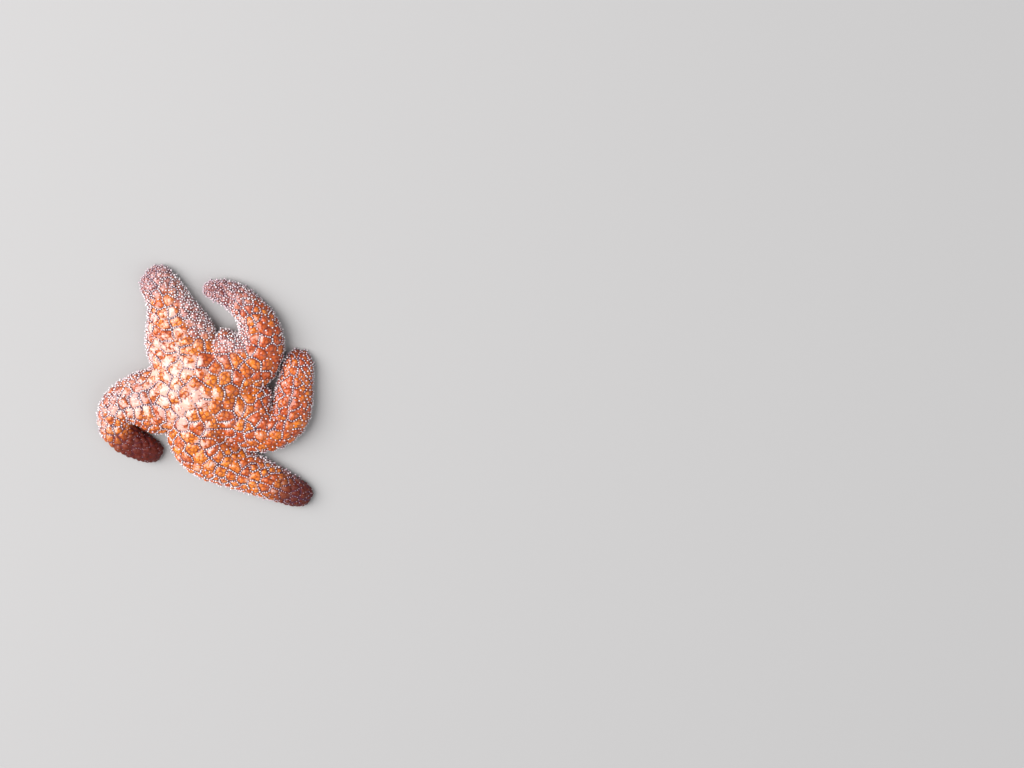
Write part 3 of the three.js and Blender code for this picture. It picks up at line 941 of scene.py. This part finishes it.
class STAR_OT_underside(bpy.types.Operator):
    """Fill the grooves under the arms with tube feet, edge them with slim spines and stud the sole"""
    bl_idname = "star.underside"
    bl_label = "Tube feet and sole"

    def execute(self, context):
        sizes = context.scene.star_underside
        chance = np.random.default_rng(sizes.seed)
        facts = skin_facts()
        skin = bpy.data.objects["skin"]
        surface = BVHTree.FromObject(skin, context.evaluated_depsgraph_get())
        spines = spine_finish("groove_spines")
        floor, rooted, shallow = FLOOR_GAP * MM, 0.2 * MM, 1.2 * MM
        feet, pegs = [], []
        for arm in ARMS:
            travel, row = sizes.foot_start, 0
            while travel < arm.length * 0.97:
                station = int(round(travel / arm.length * STATIONS))
                half = [GROOVE_SIDE * arm.half[side][station] for side in (0, 1)]
                for column in FOOT_COLUMNS:
                    offset = column * half[0 if column < 0 else 1] * (1 if row % 2 else 0.85)
                    spot = arm.middle[station] + arm.right[station] * offset
                    hit = surface.ray_cast(Vector((*spot, -0.01)), Vector((0, 0, 1)), 0.03)[0]
                    if hit and hit.z > shallow:
                        top = hit.z + rooted
                        way = (*chance.normal(0, 0.06, 2), -1)
                        feet.append(((hit.x, hit.y, top), way, (top - floor) / sizes.foot_height))
                for side in (0, 1):
                    outwards = arm.right[station] * (1 if side else -1)
                    spot = arm.middle[station] + outwards * half[side] * 1.02
                    if np.linalg.norm(spot - disc_centre()) > 0.011:
                        way = (*(-outwards + chance.normal(0, 0.15, 2)), 0.05)
                        tall = min(1.0, half[side] * 0.9 / sizes.groove_spine)
                        pegs.append(((*spot, 0.62 * MM), way, tall))
                travel += sizes.foot_gap * (1 - 0.35 * travel / arm.length)
                row += 1
        foot = lathe("foot", FOOT, 6)
        peg = lathe("slim_peg", PEG, 6)
        for name, group, template, material, slot, width, height in (
            ("tube_feet", feet, foot, feet_finish(), "tube_feet", sizes.foot_width, sizes.foot_height),
            ("groove_spines", pegs, peg, spines, "spines", sizes.groove_width, sizes.groove_spine),
        ):
            places, ways, tall = map(np.array, zip(*group))
            count = len(group)
            spots = spots_at(facts, places, ways, np.ones(count), chance.random(count))
            spots["tall"] = tall
            grow(name, template, spots, material, width, height, uneven=0)

        rows = np.flatnonzero((facts["normal"][:, 2] < -0.7) & (facts["point"][:, 2] < 1.6 * MM))
        kept = rows[spaced(facts["point"][rows], sizes.stud_gap, chance.permutation(len(rows)))]
        places = facts["point"][kept]
        ways = np.tile([0.0, 0.0, -1.0], (len(kept), 1))
        spots = spots_at(facts, places, ways, np.ones(len(kept)), chance.random(len(kept)))
        spots["tall"] = np.maximum(places[:, 2] - floor, rooted) / (BEAD[-1][1] * MM)
        stud = lathe("stud", BEAD, 6)
        grow("sole_studs", stud, spots, spines, sizes.stud_width, 1 * MM, uneven=0)
        for template in (foot, peg, stud):
            bpy.data.meshes.remove(template.data)
        return {"FINISHED"}


class STAR_OT_sieve(bpy.types.Operator):
    """Make the madreporite: a small chalky button with branching grooves"""
    bl_idname = "star.sieve"
    bl_label = "Sieve plate"

    def execute(self, context):
        sizes = context.scene.star_underside
        low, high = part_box("madreporite")
        middle = (low + high) / 2
        radius = min(high.x - low.x, high.y - low.y) / 2 * 0.9
        out = Vector((middle.x - disc_centre()[0], middle.y - disc_centre()[1], 0)).normalized()
        up = (Vector((0, 0, 1)) + out * math.tan(sizes.sieve_tilt)).normalized()
        across = up.cross(Vector((0, 1, 0))).normalized()
        beside = up.cross(across)
        base = Vector((middle.x, middle.y, high.z - 1.9 * MM))
        rings = 15
        profile = [(0, 1.0)]
        profile += [(k / rings, math.cos(k / rings * math.pi / 2) ** 0.55) for k in range(1, rings + 1)]
        profile += [(1.0, -0.9), (0, -0.9)]

        def place(row, angle):
            """Grooves fan out from the middle, and there are twice as many further out."""
            share, rise = row
            spokes = 9 if share < 0.45 else 18
            wander = noise.noise(Vector((share * 3, math.cos(angle) * 2, math.sin(angle) * 2))) * 1.6
            wave = 0.5 + 0.5 * math.cos(spokes * angle + wander) if rise > 0 and share > 0.12 else 0.8
            reach = radius * share * (1 + 0.05 * math.cos(3 * angle + 1))
            lift = (rise * 1.5 + wave * 0.28) * MM
            spot = base + (across * math.cos(angle) + beside * math.sin(angle)) * reach + up * lift
            return spot, {"channel": wave}

        plate = turned("sieve_plate", profile, 84, place, flip=True)
        settle(plate, sieve_finish(), ["madreporite"])
        return {"FINISHED"}


class STAR_OT_mouth(bpy.types.Operator):
    """Make the creased membrane round the mouth and the short teeth that point into it"""
    bl_idname = "star.mouth"
    bl_label = "Mouth"

    def execute(self, context):
        sizes = context.scene.star_underside
        chance = np.random.default_rng(sizes.seed)
        low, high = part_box("mouth")
        middle = (low + high) / 2
        radius = (high.x - low.x) / 2
        deep = high.z - low.z
        rings = 12
        profile = [(0, 0.72)]
        for k in range(rings + 1):
            rise = 0.45 * (1 - math.sin(k / rings * math.pi) ** 0.8) + 0.02
            profile.append((0.14 + 0.86 * k / rings, rise))
        profile += [(1.0, 1.0), (0, 1.0)]

        def place(row, angle):
            """The membrane hangs lowest half-way out, in radial creases."""
            share, rise = row
            across, up = math.cos(angle), math.sin(angle)
            crease = 0.1 * math.cos(14 * angle) + 0.06 * noise.noise(Vector((share * 5, across * 3, up * 3)))
            fall = crease * (1 - abs(2 * share - 1)) if rise < 1 else 0
            height = low.z + deep * min(1, max(0, rise + fall))
            return (middle.x + radius * share * across, middle.y + radius * share * up, height), {}

        membrane = turned("mouth_membrane", profile, 70, place)
        settle(membrane, mouth_finish(), ["mouth"])

        points, ways = [], []
        ring = TEETH_RING * MM
        for arm, before in zip(ARMS, ARMS[-1:] + ARMS[:-1]):
            across, up = arm.along[0] + before.along[0]
            between = math.atan2(up, across)
            for step in (-0.3, -0.1, 0.1, 0.3):
                across, up = math.cos(between + step), math.sin(between + step)
                points.append((middle.x + ring * across, middle.y + ring * up, TEETH_UP * MM))
                ways.append((-across, -up, 0.12))
        ways = jittered(np.array(ways), chance, 0.05)
        count = len(points)
        spots = spots_at(skin_facts(), np.array(points), ways, np.ones(count), chance.random(count))
        tooth = lathe("tooth", PEG, 7)
        material = bpy.data.materials["groove_spines"]
        width, height = TOOTH_WIDTH * MM, TOOTH_LENGTH * MM
        grow("mouth_teeth", tooth, spots, material, width, height, uneven=0.1)
        bpy.data.meshes.remove(tooth.data)
        return {"FINISHED"}


class STAR_OT_spines(bpy.types.Operator):
    """Set blunt spines along the net, in the crowded parts of the skin and round the edge"""
    bl_idname = "star.spines"
    bl_label = "Spines"

    def execute(self, context):
        sizes = context.scene.star_spines
        chance = np.random.default_rng(sizes.seed)
        facts = skin_facts()
        material = spine_finish()
        bead = lathe("bead", BEAD, 7)
        peg = lathe("peg", PEG, 7)

        def plant(name, template, rows, ways, size, width, height, seed):
            spots = spots_at(facts, facts["point"][rows], ways, size, chance.random(len(rows)))
            spots = above_floor(spots, width, height)
            grow(name, template, spots, material, width, height, seed=seed)

        places, ways = chains(facts, sizes.spacing)
        kept = spaced(places, sizes.spacing * 0.66, chance.permutation(len(places)))
        places, ways = places[kept], jittered(ways[kept], chance, 0.08)
        size = 1 + chance.normal(0, 0.13, len(kept))
        spots = spots_at(facts, places, ways, size, chance.random(len(kept)))
        thin = facts["thin"][spots["near"]]
        spots["size"] *= 1 - 0.2 * facts["maroon"][spots["near"]] - 0.45 * thin
        left = chance.random(len(thin)) > 0.6 * thin
        spots = {name: values[left] for name, values in spots.items()}
        spots = above_floor(spots, sizes.head_width, sizes.height)
        grow("net_spines", bead, spots, material, sizes.head_width, sizes.height)

        crowd = facts["crowd"] * (facts["under"] < 0.5) * (1 - 0.85 * ease(facts["rim"], 0.9, 2.0))
        rows = np.flatnonzero(crowd > chance.random(len(crowd)) * 0.9 + 0.05)
        order = chance.permutation(len(rows))
        kept = rows[spaced(facts["point"][rows], sizes.crowd_gap, order, places)]
        ways = jittered(facts["normal"][kept], chance, 0.12)
        size = 0.95 + 0.35 * chance.random(len(kept))
        plant("crowded_spines", bead, kept, ways, size, sizes.head_width, sizes.height, 2)
        taken = np.vstack([places, facts["point"][kept]])

        edge = (np.abs(facts["girth"]) > 1.35) & (facts["thin"] < 0.5) & (facts["under"] < 0.6)
        rows = np.flatnonzero(edge & (facts["point"][:, 2] < 0.014))
        order = chance.permutation(len(rows))
        kept = rows[spaced(facts["point"][rows], sizes.edge_gap, order, taken)]
        ways = facts["normal"][kept] + np.array([0, 0, 0.25])
        ways = jittered(ways / np.linalg.norm(ways, axis=1)[:, None], chance, 0.1)
        size = 0.75 + 0.4 * chance.random(len(kept))
        plant("edge_spines", peg, kept, ways, size, sizes.head_width * 0.8, sizes.edge_height, 3)
        for template in (bead, peg):
            bpy.data.meshes.remove(template.data)
        return {"FINISHED"}


# ---------------------------------------------------------------- studio
class STAR_OT_studio(bpy.types.Operator):
    """Lay a pale floor and set the camera and soft lights"""
    bl_idname = "star.studio"
    bl_label = "Studio"

    def execute(self, context):
        sizes = context.scene.star_studio
        centre = disc_centre()
        half = sizes.floor / 2
        corners = [(x * half, y * half, 0) for x, y in ((-1, -1), (1, -1), (1, 1), (-1, 1))]
        mesh = bpy.data.meshes.new("floor")
        mesh.from_pydata(corners, [], [(0, 1, 2, 3)])
        floor = link("floor", mesh)
        finish = Finish("pale_floor", Roughness=0.7)
        finish.shader.inputs["Base Color"].default_value = sizes.floor_colour
        mesh.materials.append(finish.material)

        lens = bpy.data.cameras.new("camera")
        lens.lens = 50
        lens.sensor_width = 36
        lens.clip_start = 0.01
        camera = link("camera", lens)
        tilt = sizes.tilt
        aim = Vector((centre[0] + sizes.aim[0], centre[1] + sizes.aim[1], 0))
        camera.location = aim + Vector((0, math.sin(tilt), math.cos(tilt))) * sizes.distance
        camera.rotation_euler = (-tilt, 0, 0)
        context.scene.camera = camera

        middle = Vector((centre[0], centre[1], 0.02))
        # Each light's way from the middle, distance, width, power and colour
        for name, way, far, width, power, colour in (
            ("key", (-0.64, 0.2, 0.74), 4.6, sizes.key_width, sizes.key_power, sizes.key_colour),
            ("fill", (0.8, -0.45, 0.85), 4.0, 3.0, sizes.fill_power, (1, 1, 1)),
        ):
            lamp = bpy.data.lights.new(name, "AREA")
            lamp.size = width
            lamp.energy = power
            lamp.color = colour
            light = link(name, lamp)
            light.location = middle + Vector(way).normalized() * far
            light.rotation_euler = (middle - light.location).to_track_quat("-Z", "Y").to_euler()
        world = bpy.data.worlds.new("studio")
        world.use_nodes = True
        sky = world.node_tree.nodes["Background"].inputs
        sky["Color"].default_value = (0.93, 0.95, 1, 1)
        sky["Strength"].default_value = sizes.world_strength
        context.scene.world = world
        context.scene.view_settings.view_transform = "Standard"
        return {"FINISHED"}


# ---------------------------------------------------------------- settings
def setting(name, text, default, kind=FloatProperty, **more):
    return kind(name=name, description=text, default=default, **more)


def length(name, text, default):
    return setting(name, text, default, min=0, subtype="DISTANCE", unit="LENGTH", precision=5)


def share_of(name, text, default):
    return setting(name, text, default, min=0, max=1, subtype="FACTOR")


def angle(name, text, degrees):
    return setting(name, text, math.radians(degrees), subtype="ANGLE")


def colour(name, text, default):
    return setting(name, text, (*default, 1), FloatVectorProperty, size=4, min=0, max=1, subtype="COLOR")


def seed_of(default):
    return setting("Seed", "Choice of the uneven details", default, IntProperty)


class SkinSettings(bpy.types.PropertyGroup):
    voxel: length("Mesh size", "Size of the skin's faces", 0.68 * MM)
    coat: length("Coat depth", "How far the skin lies inside the solids", 1.3 * MM)
    sole_coat: length("Sole coat", "How far the sole lies above the floor", 0.9 * MM)
    main_lines: share_of("Main lines", "Share of the net's lines that are dark", 0.55)
    bend: length("Line bend", "How far the net's lines wander", 1.6 * MM)
    cell_reach: length("Cell reach", "How far from a cell's middle the net reaches", 10 * MM)
    puff: length("Puff", "How high the skin swells inside a cell", 1.3 * MM)
    puff_reach: length("Puff reach", "How far from a line the swelling is full", 3.0 * MM)
    lump_width: length("Lump width", "Distance between the small lumps inside the cells", 3.2 * MM)
    lump: length("Lump height", "Height of the small lumps", 0.6 * MM)
    kept_faces: share_of("Kept faces", "Share of the skin's faces that are kept", 0.51)
    wet_roughness: share_of("Wet film", "Roughness of the wet film", 0.14)
    bright: colour("Bright flesh", "Colour of the brightest cells", (0.84, 0.235, 0.012))
    deep: colour("Deep flesh", "Colour of the darker flesh", (0.58, 0.092, 0.006))
    # Painted shade: this dark red stands in for the shade low on the arms' sides and over the fifth arm's
    # end
    flank_shade: colour("Flank", "Colour low on the sides", (0.22, 0.026, 0.007))
    tip: colour("Arm tip", "Colour of the arm tips", (0.11, 0.014, 0.008))
    # Painted sheen: the pale film's colour stands in for the key light's reflection on the wet skin
    bloom: colour("Pale film", "Colour of the pale film over the flesh", (0.88, 0.57, 0.49))
    sole: colour("Sole", "Colour of the underside", (0.72, 0.40, 0.17))
    # Painted shade: this dark red stands in for the shade in the creases between the lumps and beside the
    # net's lines
    crease: colour("Crease", "Colour in the creases of the flesh", (0.25, 0.024, 0.005))
    crowded: colour("Crowded skin", "Skin between crowded spines", (0.19, 0.045, 0.048))
    veil: colour("Crowded veil", "Pale film between crowded spines", (0.66, 0.37, 0.36))
    pale: colour("Gills", "Colour of the tiny gill buds", (0.90, 0.50, 0.30))
    net: colour("Net", "Colour in the lines of the net", (0.085, 0.022, 0.040))
    seed: seed_of(5)


class SpineSettings(bpy.types.PropertyGroup):
    head_width: length("Head width", "Width of a spine's head", 1.34 * MM)
    height: length("Height", "Height of a spine over the skin", 1.3 * MM)
    spacing: length("Spacing", "Distance between spines along the net", 1.95 * MM)
    crowd_gap: length("Crowded spacing", "Smallest distance between crowded spines", 1.9 * MM)
    edge_gap: length("Edge spacing", "Smallest distance between spines at the edge", 2.1 * MM)
    edge_height: length("Edge height", "Height of the spines at the edge", 1.4 * MM)
    patch: setting("Bake patch", "Width of a spine's patch on the unwrap", 0.003)
    head_colour: colour("Head", "Colour of the palest heads", (0.93, 0.88, 0.89))
    lilac: colour("Lilac", "Colour of the darker heads", (0.68, 0.52, 0.58))
    base: colour("Base", "Colour at a spine's foot", (0.10, 0.030, 0.060))
    seed: seed_of(11)


class UndersideSettings(bpy.types.PropertyGroup):
    foot_start: length("First feet", "Distance from the disc's centre to the first tube feet", 13 * MM)
    foot_gap: length("Foot spacing", "Distance between rows of tube feet", 2.6 * MM)
    foot_width: length("Foot width", "Width of a tube foot's sucker", 1.5 * MM)
    foot_height: length("Foot height", "Height of a tube foot in the deepest groove", 4.5 * MM)
    groove_width: length("Groove spine width", "Width of the slim spines beside the grooves", 0.8 * MM)
    groove_spine: length("Groove spine length", "Length of the slim spines beside the grooves", 2.6 * MM)
    stud_gap: length("Stud spacing", "Distance between the short studs of the sole", 2.7 * MM)
    stud_width: length("Stud width", "Width of the sole's studs", 1.4 * MM)
    sieve_tilt: angle("Sieve tilt", "Tilt of the sieve plate", 12)
    seed: seed_of(21)


class StudioSettings(bpy.types.PropertyGroup):
    floor: length("Floor", "Width of the floor", 40.0)
    floor_colour: colour("Floor colour", "Colour of the floor", (0.42, 0.42, 0.415))
    distance: length("Camera distance", "Distance from the camera to its aim on the floor", 1.2231)
    tilt: angle("Camera tilt", "Tilt from straight down", 14)
    aim: setting("Aim", "Aim on the floor, from the disc's centre", (0.2649, 0.00136), FloatVectorProperty,
                 size=2, subtype="XYZ", unit="LENGTH")
    key_power: setting("Key power", "Power of the main light", 400, unit="POWER")
    key_width: length("Key width", "Width of the main light", 4.6)
    key_colour: setting("Key colour", "Colour of the main light", (1, 0.97, 0.97), FloatVectorProperty,
                        size=3, subtype="COLOR")
    fill_power: setting("Fill power", "Power of the second light", 40, unit="POWER")
    world_strength: setting("Surroundings", "Brightness of the pale surroundings", 0.4)


OPERATORS = (
    STAR_OT_studio, STAR_OT_skin, STAR_OT_spines, STAR_OT_underside, STAR_OT_sieve, STAR_OT_mouth,
    STAR_OT_finish_skin,
)
SETTINGS = {
    "star_skin": SkinSettings,
    "star_spines": SpineSettings,
    "star_underside": UndersideSettings,
    "star_studio": StudioSettings,
}


class STAR_PT_panel(bpy.types.Panel):
    """Pieces of the sea star, in the order in which they are made"""
    bl_idname = "STAR_PT_panel"
    bl_label = "Sea star"
    bl_space_type = "VIEW_3D"
    bl_region_type = "UI"
    bl_category = "Sea star"

    def draw(self, context):
        for operator in OPERATORS:
            self.layout.operator(operator.bl_idname)
        for name, group in SETTINGS.items():
            box = self.layout.box()
            for item in group.__annotations__:
                box.prop(getattr(context.scene, name), item)


def register():
    for group in SETTINGS.values():
        bpy.utils.register_class(group)
    for name, group in SETTINGS.items():
        setattr(bpy.types.Scene, name, PointerProperty(type=group))
    for kind in (*OPERATORS, STAR_PT_panel):
        bpy.utils.register_class(kind)


def unregister():
    for kind in (STAR_PT_panel, *reversed(OPERATORS)):
        bpy.utils.unregister_class(kind)
    for name in SETTINGS:
        delattr(bpy.types.Scene, name)
    for group in reversed(list(SETTINGS.values())):
        bpy.utils.unregister_class(group)


def main():
    register()
    bpy.ops.star.studio()
    bpy.ops.star.skin()
    bpy.ops.star.spines()
    bpy.ops.star.underside()
    bpy.ops.star.sieve()
    bpy.ops.star.mouth()
    bpy.ops.star.finish_skin()
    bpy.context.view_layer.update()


if __name__ == "__main__":
    main()
